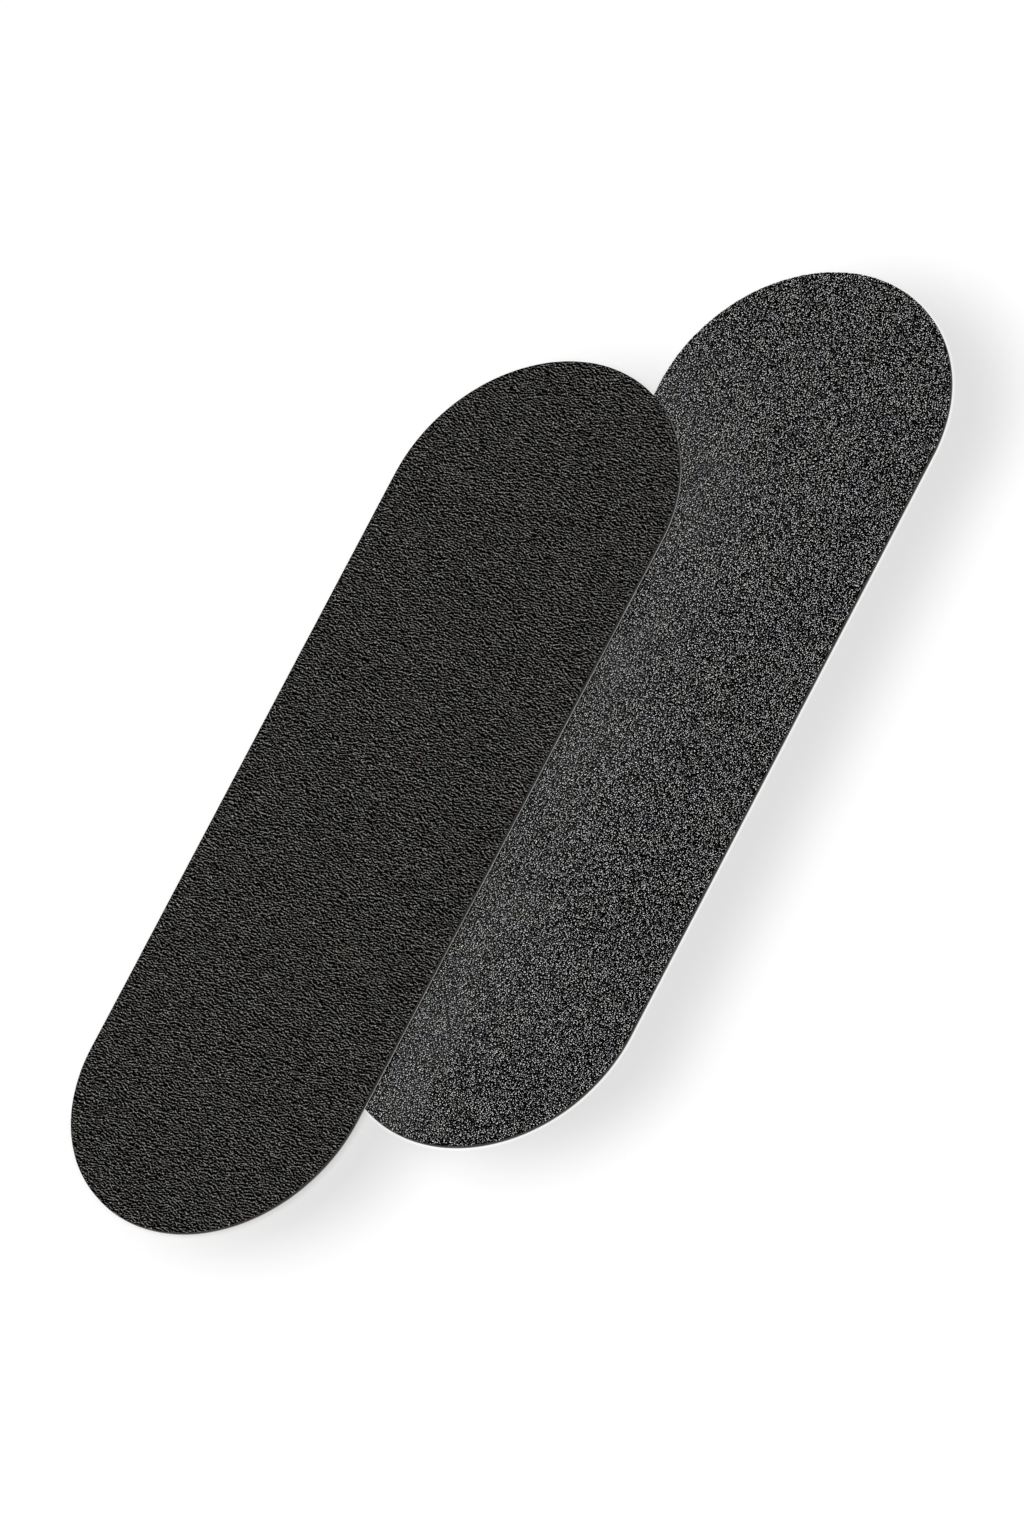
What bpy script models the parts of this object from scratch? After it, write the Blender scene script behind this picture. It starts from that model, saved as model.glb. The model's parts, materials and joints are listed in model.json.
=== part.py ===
"""Two stick-on abrasive pads for a two-sided pedicure file, one coarse and one fine.

Each pad is a stadium cut from a laminate: release liner, adhesive film, latex paper,
make coat and grit coat, from the ground up. The coarse pad lies flat. The fine pad
leans on it, with one long edge on the ground and its liner on the coarse pad's edge.

Metres, +Z up. X runs across the pads and Y along them. The origin is on the ground,
below the middle of the pair.
"""

import math

import bpy

# Outline of both pads
PAD_WIDTH = 0.038
PAD_LENGTH = 0.115
ARC_STEPS = 40

# Laminate
LINER_THICKNESS = 0.00010
ADHESIVE_THICKNESS = 0.00008
PAPER_THICKNESS = 0.00020
MAKE_COAT_THICKNESS = 0.00005
COARSE_GRIT_THICKNESS = 0.00022
FINE_GRIT_THICKNESS = 0.00012
LAYER_CLEARANCE = 0.00002

# How far the fine pad lies from the coarse one, and its clearance on the coarse edge
SIDE_SHIFT = 0.027
END_SHIFT = 0.019
SEAT_CLEARANCE = 0.00005

# Colour, roughness and metallic value of each finish
FINISHES = {
    "coarse_grit": ((0.056, 0.056, 0.055), 0.55, 0.0),
    "fine_grit": ((0.031, 0.030, 0.028), 0.70, 0.0),
    "resin": ((0.020, 0.018, 0.016), 0.35, 0.0),
    "latex_paper": ((0.030, 0.030, 0.032), 0.85, 0.0),
    "adhesive": ((0.62, 0.60, 0.52), 0.20, 0.0),
    "silicone_paper": ((0.78, 0.77, 0.73), 0.45, 0.0),
}


def finish(name, kind):
    """A Principled material of one of the finishes, made for one piece."""
    colour, roughness, metallic = FINISHES[kind]
    material = bpy.data.materials.new(name)
    material.use_nodes = True
    shader = material.node_tree.nodes["Principled BSDF"]
    shader.inputs["Base Color"].default_value = (*colour, 1.0)
    shader.inputs["Roughness"].default_value = roughness
    shader.inputs["Metallic"].default_value = metallic
    material.diffuse_color = (*colour, 1.0)
    return material


def stadium_points(width, length):
    """The corners of a stadium round the origin, counterclockwise from its +X side."""
    radius = width / 2
    half_straight = (length - width) / 2
    points = []
    for end in (1, -1):
        for step in range(ARC_STEPS + 1):
            angle = math.pi * step / ARC_STEPS
            x = end * radius * math.cos(angle)
            y = end * (half_straight + radius * math.sin(angle))
            points.append((x, y))
    return points


def stadium_layer(name, thickness, kind, collection):
    """One die-cut layer: the pads' outline, filled and extruded about its own middle."""
    outline = bpy.data.curves.new(name, "CURVE")
    outline.dimensions = "2D"
    outline.fill_mode = "BOTH"
    outline.extrude = thickness / 2
    spline = outline.splines.new("POLY")
    corners = stadium_points(PAD_WIDTH, PAD_LENGTH)
    spline.points.add(len(corners) - 1)
    for point, (x, y) in zip(spline.points, corners):
        point.co = (x, y, 0.0, 1.0)
    spline.use_cyclic_u = True
    outline.materials.append(finish(name, kind))
    layer = bpy.data.objects.new(name, outline)
    collection.objects.link(layer)
    return layer


def carrier(name, parent, location, collection):
    """An empty that carries the pieces moving together about its own place."""
    empty = bpy.data.objects.new(name, None)
    empty.empty_display_size = PAD_WIDTH / 4
    empty.parent = parent
    empty.location = location
    collection.objects.link(empty)
    return empty


def build_pad(grade, grit_thickness, seat, middle, collection):
    """The five layers of one pad on its seat, liner lowest. middle is the pad's centre there.

    The liner stays on the seat. The four layers above it hang on an empty at the pad's
    +Y tip, level with the liner's top, which is where the pad peels off its liner.
    """
    x, y = middle
    liner = stadium_layer(
        f"{grade}_release_liner", LINER_THICKNESS, "silicone_paper", collection
    )
    liner.parent = seat
    liner.location = (x, y, LINER_THICKNESS / 2)

    peel_height = LINER_THICKNESS + LAYER_CLEARANCE / 2
    tip = (x, y + PAD_LENGTH / 2, peel_height)
    peel = carrier(f"{grade}_peel_axis", seat, tip, collection)
    layers = (
        ("adhesive_film", ADHESIVE_THICKNESS, "adhesive"),
        ("paper_backing", PAPER_THICKNESS, "latex_paper"),
        ("make_coat", MAKE_COAT_THICKNESS, "resin"),
        ("grit_coat", grit_thickness, f"{grade}_grit"),
    )
    base = LAYER_CLEARANCE / 2
    for piece, thickness, kind in layers:
        layer = stadium_layer(f"{grade}_{piece}", thickness, kind, collection)
        layer.parent = peel
        layer.location = (0.0, -PAD_LENGTH / 2, base + thickness / 2)
        base += thickness + LAYER_CLEARANCE


def pad_height(grit_thickness):
    """From the ground to the top of a pad that lies flat."""
    layers = LINER_THICKNESS + ADHESIVE_THICKNESS + PAPER_THICKNESS + MAKE_COAT_THICKNESS
    clearances = 4 * LAYER_CLEARANCE
    return layers + clearances + grit_thickness


def build_coarse_pad(collection):
    """The pad that lies flat on the ground, shifted towards +X and +Y."""
    seat = carrier("coarse_seat", None, (SIDE_SHIFT / 2, END_SHIFT / 2, 0.0), collection)
    build_pad("coarse", COARSE_GRIT_THICKNESS, seat, (0.0, 0.0), collection)


def build_fine_pad(collection):
    """The pad whose -X edge is on the ground and which leans on the coarse pad's -X edge.

    Between the two edges lies SIDE_SHIFT, so it and the coarse pad's height give the lean.
    """
    ground_edge = (-(SIDE_SHIFT + PAD_WIDTH) / 2, -END_SHIFT / 2, 0.0)
    seat = carrier("fine_seat", None, ground_edge, collection)
    rise = pad_height(COARSE_GRIT_THICKNESS) + SEAT_CLEARANCE
    seat.rotation_euler.y = -math.atan2(rise, SIDE_SHIFT)
    build_pad("fine", FINE_GRIT_THICKNESS, seat, (PAD_WIDTH / 2, 0.0), collection)


def main():
    for item in list(bpy.data.objects):
        bpy.data.objects.remove(item, do_unlink=True)
    pads = bpy.data.collections.new("pedicure_file_pads")
    bpy.context.scene.collection.children.link(pads)
    build_coarse_pad(pads)
    build_fine_pad(pads)
    bpy.context.view_layer.update()


main()
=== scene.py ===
"""The look of two stick-on abrasive pads for a two-sided pedicure file.

Each pad is five die-cut layers. Every layer starts as a flat blank with round ends and is
shaped in its pad's own frame: X across the pad, Y towards the tip that it peels from, Z out
of its grit. Then it is put in its place. The patterns read the place that each point had
on the flat pad, so they stay on the sheet when it bends.

Lengths are in metres, and colours are linear. A shade, share or mask runs from 0 to 1.
"""

import json
import math

import bmesh
import bpy
import numpy as np
from mathutils import Matrix, Vector, noise as solid_noise


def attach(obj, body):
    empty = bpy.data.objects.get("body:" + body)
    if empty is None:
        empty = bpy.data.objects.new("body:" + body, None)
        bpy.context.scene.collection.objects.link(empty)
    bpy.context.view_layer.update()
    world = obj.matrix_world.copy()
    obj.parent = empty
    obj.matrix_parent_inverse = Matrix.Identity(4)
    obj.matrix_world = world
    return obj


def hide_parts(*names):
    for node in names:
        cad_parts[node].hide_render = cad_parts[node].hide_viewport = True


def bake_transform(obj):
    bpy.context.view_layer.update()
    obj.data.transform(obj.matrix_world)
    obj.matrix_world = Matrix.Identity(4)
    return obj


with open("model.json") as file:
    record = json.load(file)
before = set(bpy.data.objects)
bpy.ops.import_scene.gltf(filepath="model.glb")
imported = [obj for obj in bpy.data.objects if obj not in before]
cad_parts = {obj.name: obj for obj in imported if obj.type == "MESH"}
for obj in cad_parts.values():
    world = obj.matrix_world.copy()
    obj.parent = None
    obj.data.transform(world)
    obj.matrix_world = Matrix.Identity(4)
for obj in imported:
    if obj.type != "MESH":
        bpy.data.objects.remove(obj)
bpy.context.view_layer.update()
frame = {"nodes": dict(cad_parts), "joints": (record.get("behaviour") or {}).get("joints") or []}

# Cells of the blanks, across and along. The counts across are odd, so that a single edge
# crosses the middle of each round end
COARSE_GRIT_CELLS = (175, 531)
FINE_GRIT_CELLS = (111, 849)
PLAIN_CELLS = (49, 145)

# Every layer of a pad draws its own random numbers, and the lowest one starts from here
FIRST_SEEDS = {"coarse": 11, "fine": 31}

# The die's small errors along the outline, always inwards, and the edges that it softens
DIE_WANDER = 0.00003
DIE_WANDER_LENGTH = 0.004
CUT_EDGE_BEVEL = 0.000012
CUT_EDGE_STEPS = 2
CUT_EDGE_ANGLE = math.radians(60)

# Faces that meet at less than this are shaded as one
RIPPLE_SMOOTHING = math.radians(70)
PLAIN_SMOOTHING = math.radians(40)

# Coarse grit: sharp grains with several facets each, broken out and lower along the rim
GRAIN_PITCH = 0.000215
FACET_PITCH = 0.00009
GRAIN_DRIFT = 0.00006
COARSE_RELIEF = 0.00015
COARSE_RIM_CHIP = 0.00008
COARSE_RIM_RELIEF_SHARE = 0.35

# Where a grain's dome starts to fall and where it ends, in pitches from the grain's middle,
# and how high the lowest grain is next to the highest
GRAIN_DOME = (0.12, 0.78)
LOWEST_GRAIN_SHARE = 0.45

# How much of a coarse spot's shade comes from its grain and from its facet, and where the
# shade falls off towards the gap, in pitches
COARSE_SHADE_SHARES = {"grain": 0.45, "facet": 0.55}
GRAIN_FALL_OFF = (0.1, 0.5)

# Fine grit: short ripples of the size coat, which run nearly across the pad
RIPPLE_PITCH = 0.00036
RIPPLES_PER_CELL = 1.1
RIPPLE_HEADING = math.radians(85)
RIPPLE_ORDER = 0.76
RIPPLE_SWIRL = 0.0003
RIPPLE_SWIRL_LENGTH = 0.0045
FINE_RELIEF = 0.00006
FINE_RIM_RELIEF_SHARE = 0.4

# Specks on the ripples, with their dome in pitches, and how much of a fine spot's shade
# comes from each pattern
SPECK_PITCH = 0.00024
SPECK_DOME = (0.1, 0.7)
FINE_SHADE_SHARES = {"ripple": 0.62, "speck": 0.16, "facet": 0.22}

# Brightness of both grits by shade, from the gaps to the brightest facets. Besides the grits'
# own tones, the bright end holds painted glints and highlights, and the dark end painted shade
# in the gaps
COARSE_TONES = (
    (0.0, 0.0), (0.166, 0.0012), (0.256, 0.015), (0.337, 0.060),
    (0.408, 0.165), (0.469, 0.34), (0.529, 0.66), (0.57, 1.0),
)
FINE_TONES = (
    (0.0, 0.0), (0.43, 0.0), (0.513, 0.002), (0.586, 0.011),
    (0.668, 0.046), (0.75, 0.118), (0.838, 0.28), (1.0, 0.66),
)
FINE_CAST = (1.03, 0.99, 0.93)

# Nearly all of a Noise node's values lie between these two
NOISE_SPREAD = (0.3, 0.7)

# Faint patches of another hue: their size, and how far red, green and blue lean in them
COARSE_TINT = {"Size": 0.0022, "Hue": (-0.07, -0.07, 0.26)}
FINE_TINT = {"Size": 0.0018, "Hue": (0.20, -0.15, -0.05)}

# A painted pale sheen on the coarse grit beside the fine pad, which draws each shade towards
# one. Its places are distances from the fine pad's outline: it fades in under the pad, from
# the first place to the outline, and it fades out beside the pad, between the other two
PAINTED_SHEEN_UNDER_PAD = -0.004
PAINTED_SHEEN_BESIDE_PAD = (0.003, 0.016)
PAINTED_SHEEN_STRENGTH = 0.43
PAINTED_SHEEN_SHADE = 0.45
PAINTED_SHEEN_PATCH = 0.008
PAINTED_SHEEN_UNEVENNESS = (0.8, 1.2)

# Painted light against the fine pad's contact shadow: the coarse grit is this much brighter at
# the fine pad's edge, and fades to normal here
EDGE_PAINTED_LIGHT_GAIN = 1.25
EDGE_PAINTED_LIGHT_REACH = 0.0011

# Resin: a fine mottle from dark to pale brown
RESIN_MOTTLE = 0.0003
RESIN_TONES = ((0.35, (0.012, 0.010, 0.008)), (0.65, (0.075, 0.070, 0.064)))

# Cut edges: the size of their notches
RIM_NOTCH = 0.0007

# Both papers: scales that draw out the fibres along Y and X, and clouds of this size
FIBRE_SCALES = ((1.0, 0.16, 1.0), (0.16, 1.0, 1.0))
FIBRE_CONTRAST = (0.42, 0.68)
PAPER_CLOUD = 0.0032

# Latex paper: black, with fibres that show where it is cut
LATEX_FIBRE = 0.00016
LATEX_TONES = ((0.0, (0.020, 0.020, 0.021)), (1.0, (0.050, 0.050, 0.053)))
LATEX_CUT = {"Width": 0.00008, "Raggedness": 0.00006}
LATEX_CUT_COLOUR = (0.062, 0.060, 0.058)
LATEX_CUT_LEAST_SHARE = 0.25

# Adhesive film: slow waves, streaks along the coating's run, a few flecks of loose dust with
# their radii in pitches, and a dark rim that is partly dirt and partly painted shade on the cut
TACK_WAVE = 0.0016
TACK_TONES = ((0.3, (0.59, 0.57, 0.49)), (0.7, (0.66, 0.64, 0.56)))
TACK_STREAK = 0.0011
TACK_STREAK_SCALE = (1.0, 0.03, 1.0)
TACK_STREAK_CONTRAST = (0.35, 0.7)
TACK_STREAK_STRENGTH = 0.4
TACK_STREAK_COLOUR = (0.48, 0.46, 0.39)
DUST_PITCH = 0.0024
DUST_SHARE = 0.12
DUST_RADII = (0.05, 0.13)
DUST_STRENGTH = 0.6
DUST_COLOUR = (0.16, 0.15, 0.13)
TACK_RIM = {"Width": 0.0004, "Raggedness": 0.0004}
TACK_RIM_STRENGTH = 0.9
TACK_RIM_COLOUR = (0.024, 0.023, 0.021)

# Liner: off-white and cloudy, with faint fibres and a duller cut that adds to its roughness.
# The cut's darker colour is partly painted shade
LINER_FIBRE = 0.00022
LINER_TONES = ((0.0, (0.72, 0.705, 0.655)), (1.0, (0.80, 0.79, 0.75)))
LINER_FIBRE_STRENGTH = 0.25
LINER_FIBRE_COLOUR = (0.84, 0.83, 0.80)
LINER_CUT = {"Width": 0.00025, "Raggedness": 0.0002}
LINER_CUT_STRENGTH = 0.75
LINER_CUT_COLOUR = (0.46, 0.45, 0.43)
LINER_CUT_ROUGHNESS = 0.35

# Each finish's mean roughness, specular level and depth of bumps. The grits have hardly any
# specular, because the tones of their facets already hold the highlights
SURFACES = {
    "coarse_grit": (0.5, 0.01, 0.00004),
    "fine_grit": (0.65, 0.01, 0.00003),
    "resin": (0.35, 0.3, 0.00001),
    "latex_paper": (0.85, 0.2, 0.000012),
    "adhesive": (0.2, 0.45, 0.00004),
    "silicone_paper": (0.42, 0.4, 0.000006),
}

# How each finish's roughness follows its pattern: two values of the pattern, and then the
# roughness at each
ROUGHNESS = {
    "coarse_grit": (0.1, 0.6, 0.75, 0.38),
    "fine_grit": (0.2, 0.9, 0.8, 0.5),
    "resin": (*NOISE_SPREAD, 0.28, 0.5),
    "latex_paper": (0.0, 1.0, 0.78, 0.92),
    "adhesive": (*NOISE_SPREAD, 0.14, 0.3),
    "silicone_paper": (0.0, 1.0, 0.36, 0.5),
}

# The map for baked textures: start and width of the top's and the underside's charts, the
# starts of both walls' strips and their width, and start and height of them all. A face
# belongs to a wall if its normal rises or falls by less than the slope
TOP_CHART = (0.004, 0.70)
UNDERSIDE_CHART = (0.712, 0.232)
WALL_STRIPS = (0.952, 0.978)
WALL_STRIP_WIDTH = 0.016
CHART_RISE = (0.004, 0.992)
WALL_SLOPE = 0.3

# Light on a level surface: the part that comes from all round and the part from the lamp
ROUND_LIGHT = 0.64
LAMP_LIGHT = 0.36
LAMP_HEADING = (0.88, -0.475)
LAMP_ELEVATION = math.radians(62)
LAMP_SPREAD = math.radians(60)

# The floor: its side, how far it is under the pads, its white, and how much of its own
# light it adds for a camera
FLOOR_SIZE = 6.0
FLOOR_GAP = 0.00004
FLOOR_WHITE = 0.66
FLOOR_LIFT = 0.36

# White that the floor gets back where a pad is this near, so that its contact shadow is as
# faint as the photo's and its foot has the photo's pale line: pairs of reach and brightness
FOOT_LIGHTS = ((0.0025, 0.26), (0.0004, 0.36))

# The soft shadow painted on the floor beside each pad: how dark, how far it is shifted, and half its
# blur
SHADES = {
    "coarse": (0.27, (0.0082, 0.0006), 0.0063),
    "fine": (0.24, (0.0083, 0.0008), 0.0064),
}

# The photograph's view, taken from far off with a long lens
PHOTO_HEIGHT_PX = 1536
FOCAL_LENGTH_PX = 24000
SENSOR_MM = 36.0
VIEW_TARGET = (0.000792, -0.001712, 0.0)
VIEW_DISTANCE = 2.69534
VIEW_AZIMUTH = math.radians(61.609)
VIEW_ELEVATION = math.radians(50.500)
VIEW_ROLL = math.radians(39.678)

# What is this many times nearer or farther than the target isn't drawn
VIEW_CLIP = 10


def node_span(node, direction, start):
    """How far a CAD node reaches along a direction, measured from a start point."""
    vertices = frame["nodes"][node].data.vertices
    reach = [(vertex.co - start).dot(direction) for vertex in vertices]
    return min(reach), max(reach)


class Pad:
    """A pad's frame, size and peeling tip, as its peeling joint and its paper give them."""

    def __init__(self, grade):
        joint = next(item for item in frame["joints"] if item["name"] == f"{grade}_peel")
        paper = f"{grade}_paper_backing"
        self.grade = grade
        self.tip = Vector(joint["pos_m"])
        self.across = -Vector(joint["axis"]).normalized()
        self.along = Vector((0.0, 1.0, 0.0))
        self.out = self.across.cross(self.along)
        left, right = node_span(paper, self.across, self.tip)
        back, front = node_span(paper, self.along, self.tip)
        self.width = right - left
        self.length = front - back
        self.centre = self.tip - self.along * (self.length / 2)
        self.matrix = Matrix((self.across, self.along, self.out)).transposed().to_4x4()
        self.matrix.translation = self.centre

    def layer(self, node):
        """The lowest and highest level of one of the pad's CAD nodes, in the pad's frame."""
        return node_span(node, self.out, self.centre)


pads = {grade: Pad(grade) for grade in ("coarse", "fine")}
RADIUS = pads["coarse"].width / 2
HALF_STRAIGHT = (pads["coarse"].length - pads["coarse"].width) / 2


# Node helpers for both shader trees and geometry trees


def feed(tree, value, socket):
    """Links a socket to another one, or sets it to a plain value."""
    if isinstance(value, bpy.types.NodeSocket):
        tree.links.new(value, socket)
    else:
        socket.default_value = value


def calculate(tree, operation, *values, clamp=False):
    """A Math node."""
    step = tree.nodes.new("ShaderNodeMath")
    step.operation = operation
    step.use_clamp = clamp
    for value, socket in zip(values, step.inputs):
        feed(tree, value, socket)
    return step.outputs[0]


def calculate_vector(tree, operation, *values):
    """A Vector Math node that gives a vector."""
    step = tree.nodes.new("ShaderNodeVectorMath")
    step.operation = operation
    for value, socket in zip(values, step.inputs):
        feed(tree, value, socket)
    return step.outputs["Vector"]


def scaled(tree, vector, factor):
    """A vector times a number."""
    step = tree.nodes.new("ShaderNodeVectorMath")
    step.operation = "SCALE"
    feed(tree, vector, step.inputs["Vector"])
    feed(tree, factor, step.inputs["Scale"])
    return step.outputs["Vector"]


def remap(tree, value, from_low, from_high, to_low=0.0, to_high=1.0, smooth=False):
    """A Map Range node, clamped."""
    step = tree.nodes.new("ShaderNodeMapRange")
    step.interpolation_type = "SMOOTHSTEP" if smooth else "LINEAR"
    for number, socket in zip((value, from_low, from_high, to_low, to_high), step.inputs):
        feed(tree, number, socket)
    return step.outputs["Result"]


def separate(tree, vector):
    """X, Y and Z of a vector."""
    step = tree.nodes.new("ShaderNodeSeparateXYZ")
    feed(tree, vector, step.inputs[0])
    return step.outputs


def combine(tree, x, y, z):
    """A vector from X, Y and Z."""
    step = tree.nodes.new("ShaderNodeCombineXYZ")
    for value, socket in zip((x, y, z), step.inputs):
        feed(tree, value, socket)
    return step.outputs[0]


def cloud(tree, place, size, detail=2.0, roughness=0.5):
    """A Noise node whose blobs are about this size: its value and its colour."""
    step = tree.nodes.new("ShaderNodeTexNoise")
    feed(tree, place, step.inputs["Vector"])
    feed(tree, calculate(tree, "DIVIDE", 1.0, size), step.inputs["Scale"])
    step.inputs["Detail"].default_value = detail
    step.inputs["Roughness"].default_value = roughness
    return step.outputs[0], step.outputs[1]


def cells(tree, place, pitch):
    """A flat Voronoi pattern: each point's distance from its cell's middle, in pitches, and a
    random colour for the cell."""
    step = tree.nodes.new("ShaderNodeTexVoronoi")
    step.voronoi_dimensions = "2D"
    feed(tree, place, step.inputs["Vector"])
    feed(tree, calculate(tree, "DIVIDE", 1.0, pitch), step.inputs["Scale"])
    return step.outputs["Distance"], step.outputs["Color"]


# Fields: the same nodes shape the mesh and colour it


def outline_distance(tree, place, centre=(0.0, 0.0, 0.0)):
    """How far a place on a pad is outside the pads' outline. It is negative inside."""
    x, y, _ = separate(tree, calculate_vector(tree, "SUBTRACT", place, centre))
    past = calculate(tree, "SUBTRACT", calculate(tree, "ABSOLUTE", y), HALF_STRAIGHT)
    past = calculate(tree, "MAXIMUM", past, 0.0)
    sideways = calculate(tree, "MULTIPLY", x, x)
    square = calculate(tree, "ADD", sideways, calculate(tree, "MULTIPLY", past, past))
    return calculate(tree, "SUBTRACT", calculate(tree, "SQRT", square), RADIUS)


def grain_height(tree, place):
    """Sharp grains side by side: their height, from 0 in the gaps to 1."""
    distance, colour = cells(tree, place, GRAIN_PITCH)
    tall, _, _ = separate(tree, colour)
    dome = remap(tree, distance, *GRAIN_DOME, 1.0, 0.0)
    size = remap(tree, tall, 0.0, 1.0, LOWEST_GRAIN_SHARE, 1.0)
    return calculate(tree, "MULTIPLY", dome, size)


def facet_shade(tree, place):
    """A random shade for each facet."""
    _, colour = cells(tree, place, FACET_PITCH)
    return separate(tree, colour)[0]


def grain_shade(tree, place):
    """The grains' shade: each grain and each facet has its own, and the gaps are dark."""
    distance, colour = cells(tree, place, GRAIN_PITCH)
    _, bright, _ = separate(tree, colour)
    facet = calculate(tree, "MULTIPLY", facet_shade(tree, place), COARSE_SHADE_SHARES["facet"])
    shade = calculate(tree, "MULTIPLY_ADD", bright, COARSE_SHADE_SHARES["grain"], facet)
    return calculate(tree, "MULTIPLY", shade, remap(tree, distance, *GRAIN_FALL_OFF, 1.0, 0.0))


def ripple_height(tree, place):
    """Short wavy ripples that run together and apart: their height, from 0 to 1."""
    _, drift = cloud(tree, place, RIPPLE_SWIRL_LENGTH)
    drift = calculate_vector(tree, "SUBTRACT", drift, (0.5, 0.5, 0.5))
    place = calculate_vector(tree, "ADD", place, scaled(tree, drift, 2 * RIPPLE_SWIRL))
    ripples = tree.nodes.new("ShaderNodeTexGabor")
    ripples.gabor_type = "2D"
    feed(tree, place, ripples.inputs["Vector"])
    ripples.inputs["Frequency"].default_value = RIPPLES_PER_CELL
    ripples.inputs["Scale"].default_value = 1 / (RIPPLES_PER_CELL * RIPPLE_PITCH)
    ripples.inputs["Anisotropy"].default_value = RIPPLE_ORDER
    # Two inputs are called Orientation. The fifth input is the one of the flat pattern
    ripples.inputs[4].default_value = RIPPLE_HEADING
    side = calculate(tree, "SUBTRACT", ripples.outputs["Phase"], 0.5)
    return calculate(tree, "MULTIPLY", calculate(tree, "ABSOLUTE", side), 2.0)


# Cutting and shaping the sheets


def select_only(sheet):
    bpy.ops.object.select_all(action="DESELECT")
    sheet.select_set(True)
    bpy.context.view_layer.objects.active = sheet


def apply_modifier(sheet, name):
    select_only(sheet)
    bpy.ops.object.modifier_apply(modifier=name)


def edit_all(sheet):
    """Opens the sheet in edit mode with all of it selected."""
    select_only(sheet)
    bpy.ops.object.mode_set(mode="EDIT")
    bpy.ops.mesh.select_mode(type="VERT")
    bpy.ops.mesh.select_all(action="SELECT")


def select_rim(sheet):
    """Opens the sheet in edit mode with only its open rim selected."""
    edit_all(sheet)
    bpy.ops.mesh.select_mode(type="EDGE")
    bpy.ops.mesh.select_all(action="DESELECT")
    bpy.ops.mesh.select_non_manifold(
        use_wire=False, use_multi_face=False, use_non_contiguous=False, use_verts=False
    )


def leave_edit():
    bpy.ops.object.mode_set(mode="OBJECT")


def places_of(mesh):
    places = np.zeros(len(mesh.vertices) * 3)
    mesh.vertices.foreach_get("co", places)
    return places.reshape(-1, 3)


def cut_blank(name, pad, cells_across, cells_along):
    """A flat grid with the pad's width, length and round ends.

    Each square end is rounded off to half a disc by the usual map from a square to a disc.
    """
    bpy.ops.object.select_all(action="DESELECT")
    bpy.ops.mesh.primitive_grid_add(
        x_subdivisions=cells_across, y_subdivisions=cells_along, size=1
    )
    blank = bpy.context.object
    blank.name = name
    blank.data.name = name
    blank.scale = (pad.width, pad.length, 1)
    bpy.ops.object.transform_apply(location=False, rotation=False, scale=True)
    places = places_of(blank.data)
    x, y = places[:, 0] / RADIUS, np.abs(places[:, 1]) - HALF_STRAIGHT
    past = np.clip(y / RADIUS, 0, 1)
    end = past > 0
    side = np.sign(places[:, 1])
    places[end, 0] = RADIUS * x[end] * np.sqrt(1 - past[end] ** 2 / 2)
    reach = HALF_STRAIGHT + RADIUS * past[end] * np.sqrt(1 - x[end] ** 2 / 2)
    places[end, 1] = side[end] * reach
    blank.data.vertices.foreach_set("co", places.ravel())
    blank.data.update()
    return blank


def let_die_wander(blank, chip, seed):
    """Moves the rim inwards by the die's small errors, and by grains that broke out there."""
    draw = np.random.default_rng(seed)
    select_rim(blank)
    mesh = bmesh.from_edit_mesh(blank.data)
    for vertex in mesh.verts:
        if vertex.select:
            along_rim = Vector((*vertex.co.xy / DIE_WANDER_LENGTH, seed))
            inwards = DIE_WANDER * (0.5 + 0.5 * solid_noise.noise(along_rim))
            inwards += chip * draw.random() ** 2
            spine = Vector((0.0, max(-HALF_STRAIGHT, min(HALF_STRAIGHT, vertex.co.y)), 0.0))
            vertex.co -= (vertex.co - spine).normalized() * inwards
    bmesh.update_edit_mesh(blank.data)
    leave_edit()


def scatter(blank, amount, seed):
    """Moves every point but the rim at random, within the sheet's plane."""
    select_rim(blank)
    bpy.ops.mesh.select_mode(type="VERT")
    bpy.ops.mesh.select_all(action="INVERT")
    bpy.ops.transform.vertex_random(offset=amount, uniform=0.0, normal=0.0, seed=seed)
    bpy.ops.transform.resize(value=(1, 1, 0), center_override=(0, 0, 0))
    leave_edit()


def raise_relief(blank, name, field, low, high, rim_share):
    """Sets each point's level between low and high by a field, with a lower rim."""
    tree = bpy.data.node_groups.new(name, "GeometryNodeTree")
    for way in ("INPUT", "OUTPUT"):
        tree.interface.new_socket("Geometry", in_out=way, socket_type="NodeSocketGeometry")
    given = tree.nodes.new("NodeGroupInput")
    made = tree.nodes.new("NodeGroupOutput")
    place = tree.nodes.new("GeometryNodeInputPosition").outputs[0]
    distance = outline_distance(tree, place)
    rim = remap(tree, distance, -GRAIN_PITCH, 0.0, 1.0, rim_share)
    level = calculate(tree, "MULTIPLY", field(tree, place), rim)
    level = remap(tree, level, 0.0, 1.0, low, high)
    mover = tree.nodes.new("GeometryNodeSetPosition")
    feed(tree, given.outputs[0], mover.inputs["Geometry"])
    feed(tree, combine(tree, 0.0, 0.0, level), mover.inputs["Offset"])
    feed(tree, mover.outputs[0], made.inputs[0])
    modifier = blank.modifiers.new(name, "NODES")
    modifier.node_group = tree
    apply_modifier(blank, name)
    bpy.data.node_groups.remove(tree)


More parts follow.
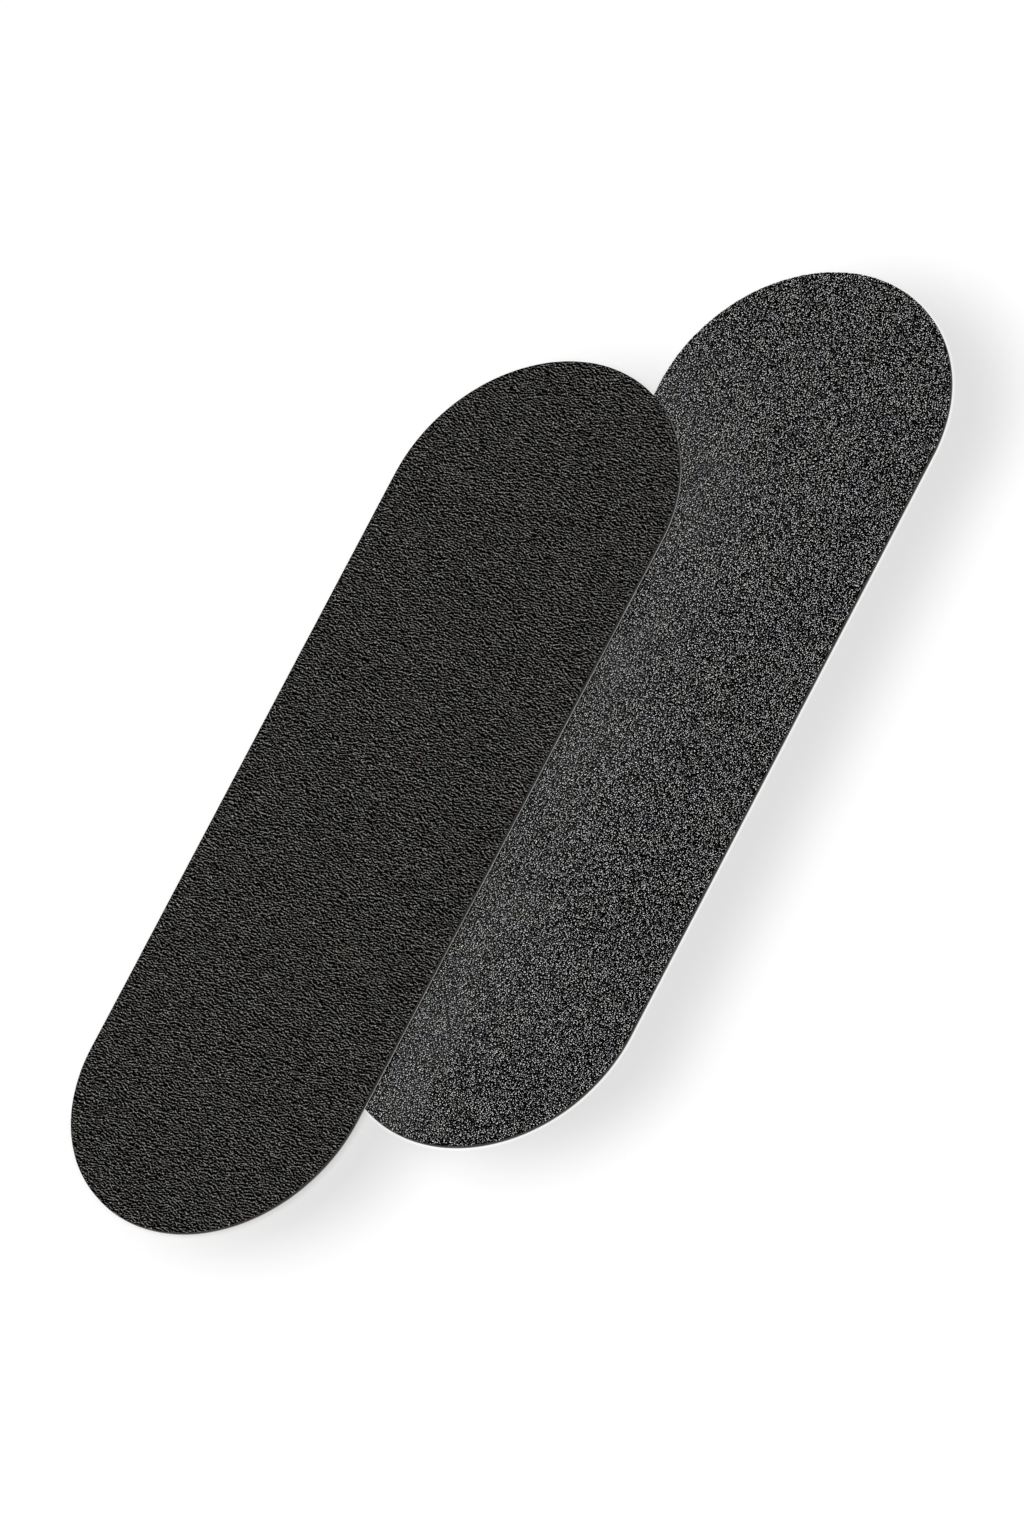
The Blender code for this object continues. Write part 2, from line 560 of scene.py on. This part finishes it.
def drop_wall(sheet, low):
    """Drops the rim to the sheet's underside and closes that with strips across the sheet."""
    select_rim(sheet)
    bpy.ops.mesh.extrude_edges_move()
    bpy.ops.transform.resize(value=(1, 1, 0), center_override=(0, 0, low))
    mesh = bmesh.from_edit_mesh(sheet.data)
    for edge in mesh.edges:
        first, second = edge.verts
        if edge.select and first.co.x * second.co.x < 0:
            edge.select_set(False)
    bmesh.update_edit_mesh(sheet.data)
    bpy.ops.mesh.bridge_edge_loops()
    bpy.ops.mesh.select_all(action="SELECT")
    bpy.ops.mesh.normals_make_consistent(inside=False)
    leave_edit()


def keep_flat_place(sheet):
    """Stores each point's place on the flat pad, for the patterns."""
    stored = sheet.data.attributes.new("flat_place", "FLOAT_VECTOR", "POINT")
    stored.data.foreach_set("vector", places_of(sheet.data).ravel())


def lay_bake_map(sheet, pad):
    """A map for textures that are baked later: the top, the underside and the walls apart."""
    mesh = sheet.data
    places = places_of(mesh)
    chart = mesh.uv_layers.new(name="OFBake")
    low, high = places[:, 2].min(), places[:, 2].max()
    for face in mesh.polygons:
        for corner in face.loop_indices:
            x, y, z = places[mesh.loops[corner].vertex_index]
            if abs(face.normal.z) < WALL_SLOPE:
                start = WALL_STRIPS[0] if face.center.x < 0 else WALL_STRIPS[1]
                width, share = WALL_STRIP_WIDTH, (z - low) / (high - low)
            else:
                start, width = TOP_CHART if face.normal.z > 0 else UNDERSIDE_CHART
                share = x / pad.width + 0.5
            foot, rise = CHART_RISE
            chart.data[corner].uv = (start + width * share, foot + rise * (y / pad.length + 0.5))


def place_sheet(sheet, pad):
    """Moves a finished sheet from the pad's frame to its place."""
    select_only(sheet)
    sheet.matrix_world = pad.matrix
    bpy.ops.object.transform_apply(location=True, rotation=True, scale=True)


def make_grit(pad, piece, node, seed):
    """The grains or ripples of the pad's top, on a flat bed."""
    low, high = pad.layer(node)
    if pad.grade == "coarse":
        sheet = cut_blank(piece, pad, *COARSE_GRIT_CELLS)
        let_die_wander(sheet, COARSE_RIM_CHIP, seed)
        scatter(sheet, GRAIN_DRIFT, seed)
        bed = high - COARSE_RELIEF
        raise_relief(sheet, "grains", grain_height, bed, high, COARSE_RIM_RELIEF_SHARE)
        drop_wall(sheet, low)
        bpy.ops.object.shade_flat()
    else:
        sheet = cut_blank(piece, pad, *FINE_GRIT_CELLS)
        let_die_wander(sheet, 0.0, seed)
        bed = high - FINE_RELIEF
        raise_relief(sheet, "ripples", ripple_height, bed, high, FINE_RIM_RELIEF_SHARE)
        drop_wall(sheet, low)
        bpy.ops.object.shade_smooth_by_angle(angle=RIPPLE_SMOOTHING)
    return sheet


def make_plain_layer(pad, piece, node, seed):
    """A layer of even thickness, with edges that the die has softened."""
    low, high = pad.layer(node)
    sheet = cut_blank(piece, pad, *PLAIN_CELLS)
    let_die_wander(sheet, 0.0, seed)
    edit_all(sheet)
    bpy.ops.transform.translate(value=(0, 0, high))
    leave_edit()
    drop_wall(sheet, low)
    bevel = sheet.modifiers.new("cut_edge", "BEVEL")
    bevel.width = CUT_EDGE_BEVEL
    bevel.segments = CUT_EDGE_STEPS
    bevel.limit_method = "ANGLE"
    bevel.angle_limit = CUT_EDGE_ANGLE
    apply_modifier(sheet, "cut_edge")
    bpy.ops.object.shade_smooth_by_angle(angle=PLAIN_SMOOTHING)
    return sheet


# Node groups that several finishes share


def start_group(name, inputs, outputs):
    """An empty shader node group with these sockets: its tree, its inputs and its outputs."""
    tree = bpy.data.node_groups.new(name, "ShaderNodeTree")
    for label, kind in inputs.items():
        tree.interface.new_socket(label, in_out="INPUT", socket_type=f"NodeSocket{kind}")
    for label, kind in outputs.items():
        tree.interface.new_socket(label, in_out="OUTPUT", socket_type=f"NodeSocket{kind}")
    given = tree.nodes.new("NodeGroupInput")
    made = tree.nodes.new("NodeGroupOutput")
    return tree, given.outputs, made.inputs


def place_group(tree, group, **values):
    """A node of one of the groups, with values for its inputs by their labels."""
    step = tree.nodes.new("ShaderNodeGroup")
    step.node_tree = group
    for label, value in values.items():
        feed(tree, value, step.inputs[label])
    return step.outputs


def blend_colours(tree, amount, first, second, way="MIX"):
    """A colour between two others, or one laid on the other in the given way."""
    step = tree.nodes.new("ShaderNodeMix")
    step.data_type = "RGBA"
    step.blend_type = way
    # Inputs 0, 6 and 7 and output 2 are those that a mix of colours uses
    factor, below, above = (step.inputs[index] for index in (0, 6, 7))
    feed(tree, amount, factor)
    for colour, socket in ((first, below), (second, above)):
        feed(tree, (*colour, 1.0) if isinstance(colour, tuple) else colour, socket)
    return step.outputs[2]


def ramp(tree, value, stops):
    """A Color Ramp of greys or colours, each given with its place."""
    step = tree.nodes.new("ShaderNodeValToRGB")
    points = step.color_ramp.elements
    for spot, colour in stops[2:]:
        points.new(spot)
    for point, (spot, colour) in zip(points, stops):
        point.position = spot
        point.color = (*colour, 1.0) if isinstance(colour, tuple) else (colour,) * 3 + (1.0,)
    feed(tree, value, step.inputs[0])
    return step.outputs[0]


def outline_group():
    """Distance outside the pads' outline round a centre."""
    tree, given, made = start_group(
        "outline_distance", {"Place": "Vector", "Centre": "Vector"}, {"Distance": "Float"}
    )
    feed(tree, outline_distance(tree, given["Place"], given["Centre"]), made["Distance"])
    return tree


def rim_group(outline):
    """A mask that is 1 at the cut edge and fades inwards over a ragged width."""
    tree, given, made = start_group(
        "rim_mask", {"Place": "Vector", "Width": "Float", "Raggedness": "Float"}, {"Mask": "Float"}
    )
    distance = place_group(tree, outline, Place=given["Place"])["Distance"]
    ragged, _ = cloud(tree, given["Place"], RIM_NOTCH, roughness=0.6)
    ragged = calculate(tree, "SUBTRACT", ragged, 0.5)
    ragged = calculate(tree, "MULTIPLY", ragged, given["Raggedness"])
    distance = calculate(tree, "ADD", distance, ragged)
    inner = calculate(tree, "MULTIPLY", given["Width"], -1.0)
    feed(tree, remap(tree, distance, inner, 0.0, smooth=True), made["Mask"])
    return tree


def tint_group():
    """Faint patches that lean one way and the other along a hue, to multiply a colour by."""
    tree, given, made = start_group(
        "tint_patches", {"Place": "Vector", "Size": "Float", "Hue": "Vector"}, {"Tint": "Color"}
    )
    patches, _ = cloud(tree, given["Place"], given["Size"], roughness=0.55)
    patches = scaled(tree, given["Hue"], calculate(tree, "SUBTRACT", patches, 0.5))
    feed(tree, calculate_vector(tree, "ADD", patches, (1.0, 1.0, 1.0)), made["Tint"])
    return tree


def fibre_group():
    """The formation of paper: short crossed fibres and cloudy patches."""
    tree, given, made = start_group(
        "paper_fibres", {"Place": "Vector", "Fibre": "Float"}, {"Fibres": "Float", "Clouds": "Float"}
    )
    strands = []
    for scale in FIBRE_SCALES:
        place = calculate_vector(tree, "MULTIPLY", given["Place"], scale)
        value, _ = cloud(tree, place, given["Fibre"], detail=3.0, roughness=0.65)
        strands.append(remap(tree, value, *FIBRE_CONTRAST))
    feed(tree, calculate(tree, "MAXIMUM", *strands), made["Fibres"])
    clouds, _ = cloud(tree, given["Place"], PAPER_CLOUD, detail=3.0, roughness=0.6)
    feed(tree, remap(tree, clouds, *NOISE_SPREAD), made["Clouds"])
    return tree


outline_distance_group = outline_group()
rim_mask_group = rim_group(outline_distance_group)
tint_patches_group = tint_group()
paper_fibres_group = fibre_group()


# Finishes: each one gives its colour, its roughness and the height of its bumps


def coarse_grit_finish(tree, place):
    """Neutral black grains with bright facets and dark gaps, a painted pale sheen beside the fine
    pad and painted light at its edge. The brightest facets are partly painted glints.
    """
    shade = grain_shade(tree, place)
    fine_centre = pads["coarse"].matrix.inverted() @ pads["fine"].centre
    beside = place_group(
        tree, outline_distance_group, Place=place, Centre=(fine_centre.x, fine_centre.y, 0.0)
    )["Distance"]
    # A painted pale sheen beside the fine pad, uneven in patches, that draws each shade towards one
    uneven, _ = cloud(tree, place, PAINTED_SHEEN_PATCH)
    uneven = remap(tree, uneven, *NOISE_SPREAD, *PAINTED_SHEEN_UNEVENNESS)
    painted_sheen = remap(tree, beside, *PAINTED_SHEEN_BESIDE_PAD, PAINTED_SHEEN_STRENGTH, 0.0, smooth=True)
    painted_sheen = calculate(tree, "MULTIPLY", painted_sheen, uneven)
    fade_in = remap(tree, beside, PAINTED_SHEEN_UNDER_PAD, 0.0, smooth=True)
    painted_sheen = calculate(tree, "MULTIPLY", painted_sheen, fade_in)
    towards = calculate(tree, "SUBTRACT", PAINTED_SHEEN_SHADE, shade)
    shade = calculate(tree, "MULTIPLY_ADD", towards, painted_sheen, shade)
    colour = ramp(tree, shade, COARSE_TONES)
    tint = place_group(tree, tint_patches_group, Place=place, **COARSE_TINT)["Tint"]
    colour = blend_colours(tree, 1.0, colour, tint, "MULTIPLY")
    # Painted light at the fine pad's edge, against its contact shadow
    edge_painted_light = remap(tree, beside, 0.0, EDGE_PAINTED_LIGHT_REACH, EDGE_PAINTED_LIGHT_GAIN, 1.0, smooth=True)
    colour = scaled(tree, colour, edge_painted_light)
    return colour, remap(tree, shade, *ROUGHNESS["coarse_grit"]), shade


def fine_grit_finish(tree, place):
    """Warm black ripples, grey along their crests, over black gaps. The grey crests are partly
    painted highlights and the black gaps partly painted shade.
    """
    distance, _ = cells(tree, place, SPECK_PITCH)
    speck = remap(tree, distance, *SPECK_DOME, 1.0, 0.0)
    shade = 0.0
    for part, value in {
        "speck": speck,
        "facet": facet_shade(tree, place),
        "ripple": ripple_height(tree, place),
    }.items():
        shade = calculate(tree, "MULTIPLY_ADD", value, FINE_SHADE_SHARES[part], shade)
    colour = ramp(tree, shade, FINE_TONES)
    colour = blend_colours(tree, 1.0, colour, FINE_CAST, "MULTIPLY")
    tint = place_group(tree, tint_patches_group, Place=place, **FINE_TINT)["Tint"]
    colour = blend_colours(tree, 1.0, colour, tint, "MULTIPLY")
    return colour, remap(tree, shade, *ROUGHNESS["fine_grit"]), shade


def resin_finish(tree, place):
    """Dark cured resin with a brown cast."""
    mottle, _ = cloud(tree, place, RESIN_MOTTLE, detail=3.0, roughness=0.6)
    return ramp(tree, mottle, RESIN_TONES), remap(tree, mottle, *ROUGHNESS["resin"]), mottle


def latex_paper_finish(tree, place):
    """Black paper soaked in latex, with grey fibres where it is cut."""
    paper = place_group(tree, paper_fibres_group, Place=place, Fibre=LATEX_FIBRE)
    colour = ramp(tree, paper["Fibres"], LATEX_TONES)
    cut = place_group(tree, rim_mask_group, Place=place, **LATEX_CUT)["Mask"]
    share = remap(tree, paper["Fibres"], 0.0, 1.0, LATEX_CUT_LEAST_SHARE, 1.0)
    cut = calculate(tree, "MULTIPLY", cut, share)
    colour = blend_colours(tree, cut, colour, LATEX_CUT_COLOUR)
    return colour, remap(tree, paper["Clouds"], *ROUGHNESS["latex_paper"]), paper["Fibres"]


def dust_mask(tree, place):
    """1 on loose flecks, few and small, and else 0."""
    distance, colour = cells(tree, place, DUST_PITCH)
    chance, size, _ = separate(tree, colour)
    fleck = calculate(tree, "LESS_THAN", distance, remap(tree, size, 0.0, 1.0, *DUST_RADII))
    chosen = calculate(tree, "LESS_THAN", chance, DUST_SHARE)
    return calculate(tree, "MULTIPLY", fleck, chosen)


def adhesive_finish(tree, place):
    """A milky film of tack, glossy and slightly wavy, with coating streaks and loose dust."""
    waves, _ = cloud(tree, place, TACK_WAVE)
    colour = ramp(tree, waves, TACK_TONES)
    drawn_out = calculate_vector(tree, "MULTIPLY", place, TACK_STREAK_SCALE)
    streaks, _ = cloud(tree, drawn_out, TACK_STREAK, detail=3.0, roughness=0.6)
    streaks = remap(tree, streaks, *TACK_STREAK_CONTRAST, 0.0, TACK_STREAK_STRENGTH)
    colour = blend_colours(tree, streaks, colour, TACK_STREAK_COLOUR)
    dust = calculate(tree, "MULTIPLY", dust_mask(tree, place), DUST_STRENGTH)
    colour = blend_colours(tree, dust, colour, DUST_COLOUR)
    # A dark rim at the cut: partly dirt, partly painted shade
    rim = place_group(tree, rim_mask_group, Place=place, **TACK_RIM)["Mask"]
    rim = calculate(tree, "MULTIPLY", rim, TACK_RIM_STRENGTH)
    colour = blend_colours(tree, rim, colour, TACK_RIM_COLOUR)
    return colour, remap(tree, waves, *ROUGHNESS["adhesive"]), waves


def liner_finish(tree, place):
    """Off-white glassine with a silicone coat: cloudy formation, faint fibres, a dull cut whose
    darker colour is partly painted shade.
    """
    paper = place_group(tree, paper_fibres_group, Place=place, Fibre=LINER_FIBRE)
    colour = ramp(tree, paper["Clouds"], LINER_TONES)
    fibres = calculate(tree, "MULTIPLY", paper["Fibres"], LINER_FIBRE_STRENGTH)
    colour = blend_colours(tree, fibres, colour, LINER_FIBRE_COLOUR)
    # The cut is duller and darker; its darker colour is partly painted shade
    cut = place_group(tree, rim_mask_group, Place=place, **LINER_CUT)["Mask"]
    strength = calculate(tree, "MULTIPLY", cut, LINER_CUT_STRENGTH)
    colour = blend_colours(tree, strength, colour, LINER_CUT_COLOUR)
    roughness = remap(tree, paper["Clouds"], *ROUGHNESS["silicone_paper"])
    roughness = calculate(tree, "MULTIPLY_ADD", cut, LINER_CUT_ROUGHNESS, roughness)
    return colour, roughness, paper["Fibres"]


def make_finish(name, paint):
    """A material with one of the finishes, read from the place on the flat pad."""
    material = bpy.data.materials.new(name)
    material.use_nodes = True
    tree = material.node_tree
    stored = tree.nodes.new("ShaderNodeAttribute")
    stored.attribute_name = "flat_place"
    colour, roughness, height = paint(tree, stored.outputs["Vector"])
    mean_roughness, specular, bump_depth = SURFACES[name]
    bumps = tree.nodes.new("ShaderNodeBump")
    bumps.inputs["Distance"].default_value = bump_depth
    feed(tree, height, bumps.inputs["Height"])
    shader = tree.nodes["Principled BSDF"]
    shader.inputs["Roughness"].default_value = mean_roughness
    shader.inputs["Specular IOR Level"].default_value = specular
    feed(tree, colour, shader.inputs["Base Color"])
    feed(tree, roughness, shader.inputs["Roughness"])
    feed(tree, bumps.outputs["Normal"], shader.inputs["Normal"])
    return material


FINISHES = {
    "coarse_grit": make_finish("coarse_grit", coarse_grit_finish),
    "fine_grit": make_finish("fine_grit", fine_grit_finish),
    "resin": make_finish("resin", resin_finish),
    "latex_paper": make_finish("latex_paper", latex_paper_finish),
    "adhesive": make_finish("adhesive", adhesive_finish),
    "silicone_paper": make_finish("silicone_paper", liner_finish),
}

# Each layer's CAD node, the piece that stands for it, and its finish, from the floor up. The
# grit has its own finish on each pad
LAYERS = (
    ("release_liner", "liner_sheet", "silicone_paper"),
    ("adhesive_film", "tack_film", "adhesive"),
    ("paper_backing", "latex_paper", "latex_paper"),
    ("make_coat", "resin_bed", "resin"),
    ("grit_coat", "grit", None),
)


def dress_pad(pad):
    """Makes the five layers of a pad, hangs its liner on a body of its own, and fixes the rest in
    place.
    """
    for seed, (layer, name, finish) in enumerate(LAYERS, FIRST_SEEDS[pad.grade]):
        node = f"{pad.grade}_{layer}"
        finish = finish or f"{pad.grade}_grit"
        make = make_grit if layer == "grit_coat" else make_plain_layer
        sheet = make(pad, f"{pad.grade}_{name}", node, seed)
        sheet.data.materials.append(FINISHES[finish])
        keep_flat_place(sheet)
        lay_bake_map(sheet, pad)
        place_sheet(sheet, pad)
        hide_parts(node)
        if layer == "release_liner":
            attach(sheet, f"{pad.grade}_liner")
        else:
            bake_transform(sheet)


# Floor, light and camera


def seen_mask(tree):
    """1 where a camera, glossy or transmission ray looks, else 0."""
    rays = tree.nodes.new("ShaderNodeLightPath").outputs
    seen = calculate(tree, "ADD", rays["Is Camera Ray"], rays["Is Glossy Ray"])
    return calculate(tree, "ADD", seen, rays["Is Transmission Ray"], clamp=True)


def floor_shade(tree, place):
    """What is left of the white beside the pads under their painted shadows, as a number up to 1."""
    left = 1.0
    for grade, (darkness, shift, half_blur) in SHADES.items():
        middle = pads[grade].centre
        centre = (middle.x + shift[0], middle.y + shift[1], 0.0)
        distance = place_group(tree, outline_distance_group, Place=place, Centre=centre)["Distance"]
        inside = remap(tree, distance, half_blur, -half_blur, smooth=True)
        shade = calculate(tree, "MULTIPLY_ADD", inside, -darkness, 1.0)
        left = calculate(tree, "MULTIPLY", left, shade)
    return left


def foot_light(tree):
    """Painted light: the white that the floor gets back at the pads' feet, wherever they are, which
    fades their contact shadows.
    """
    total = 0.0
    for reach, brightness in FOOT_LIGHTS:
        near = tree.nodes.new("ShaderNodeAmbientOcclusion")
        near.inputs["Distance"].default_value = reach
        hidden = calculate(tree, "SUBTRACT", 1.0, near.outputs["AO"])
        total = calculate(tree, "MULTIPLY_ADD", hidden, brightness, total)
    return total


def lay_floor():
    """A white floor that keeps shadows and can be looked through from below."""
    bpy.ops.object.select_all(action="DESELECT")
    bpy.ops.mesh.primitive_plane_add(size=FLOOR_SIZE, location=(0, 0, -FLOOR_GAP))
    floor = bpy.context.object
    floor.name = "floor"
    material = bpy.data.materials.new("floor")
    material.use_nodes = True
    tree = material.node_tree
    shader = tree.nodes["Principled BSDF"]
    shader.inputs["Roughness"].default_value = 1.0
    shader.inputs["Specular IOR Level"].default_value = 0.0
    place = tree.nodes.new("ShaderNodeTexCoord").outputs["Object"]
    left = floor_shade(tree, place)
    feed(tree, calculate(tree, "MULTIPLY", left, FLOOR_WHITE), shader.inputs["Base Color"])
    lift = tree.nodes.new("ShaderNodeEmission")
    strength = calculate(tree, "MULTIPLY_ADD", left, FLOOR_LIFT, foot_light(tree))
    strength = calculate(tree, "MULTIPLY", strength, seen_mask(tree))
    feed(tree, strength, lift.inputs["Strength"])
    both = tree.nodes.new("ShaderNodeAddShader")
    feed(tree, shader.outputs[0], both.inputs[0])
    feed(tree, lift.outputs[0], both.inputs[1])
    clear = tree.nodes.new("ShaderNodeBsdfTransparent")
    choice = tree.nodes.new("ShaderNodeMixShader")
    feed(tree, tree.nodes.new("ShaderNodeNewGeometry").outputs["Backfacing"], choice.inputs[0])
    feed(tree, both.outputs[0], choice.inputs[1])
    feed(tree, clear.outputs[0], choice.inputs[2])
    feed(tree, choice.outputs[0], tree.nodes["Material Output"].inputs["Surface"])
    floor.data.materials.append(material)


def light_studio():
    """Even white light from all round, and a broad lamp high on the camera's side."""
    world = bpy.data.worlds.new("studio")
    bpy.context.scene.world = world
    world.use_nodes = True
    tree = world.node_tree
    strength = remap(tree, seen_mask(tree), 0.0, 1.0, ROUND_LIGHT, 1.0)
    background = tree.nodes["Background"]
    background.inputs["Color"].default_value = (1.0, 1.0, 1.0, 1.0)
    feed(tree, strength, background.inputs["Strength"])
    bpy.ops.object.light_add(type="SUN", location=(0, 0, 1))
    lamp = bpy.context.object
    lamp.name = "lamp"
    lamp.data.energy = LAMP_LIGHT * math.pi / math.sin(LAMP_ELEVATION)
    lamp.data.angle = LAMP_SPREAD
    level = math.cos(LAMP_ELEVATION)
    towards = Vector((*(level * part for part in LAMP_HEADING), math.sin(LAMP_ELEVATION)))
    lamp.rotation_euler = towards.to_track_quat("Z", "Y").to_euler()


def set_camera():
    """The photograph's view: far off, above, and rolled."""
    level = math.cos(VIEW_ELEVATION)
    back = Vector((
        math.sin(VIEW_AZIMUTH) * level,
        -math.cos(VIEW_AZIMUTH) * level,
        math.sin(VIEW_ELEVATION),
    ))
    straight_up = (Vector((0, 0, 1)) - back * back.z).normalized()
    straight_right = straight_up.cross(back)
    up = math.cos(VIEW_ROLL) * straight_up + math.sin(VIEW_ROLL) * straight_right
    bpy.ops.object.camera_add()
    camera = bpy.context.object
    camera.data.sensor_width = SENSOR_MM
    camera.data.lens = SENSOR_MM * FOCAL_LENGTH_PX / PHOTO_HEIGHT_PX
    camera.data.clip_start = VIEW_DISTANCE / VIEW_CLIP
    camera.data.clip_end = VIEW_DISTANCE * VIEW_CLIP
    turned = Matrix((up.cross(back), up, back)).transposed().to_4x4()
    turned.translation = Vector(VIEW_TARGET) + back * VIEW_DISTANCE
    camera.matrix_world = turned
    bpy.context.scene.camera = camera


set_camera()
lay_floor()
light_studio()
for pad in pads.values():
    dress_pad(pad)
bpy.context.scene.view_settings.view_transform = "Standard"
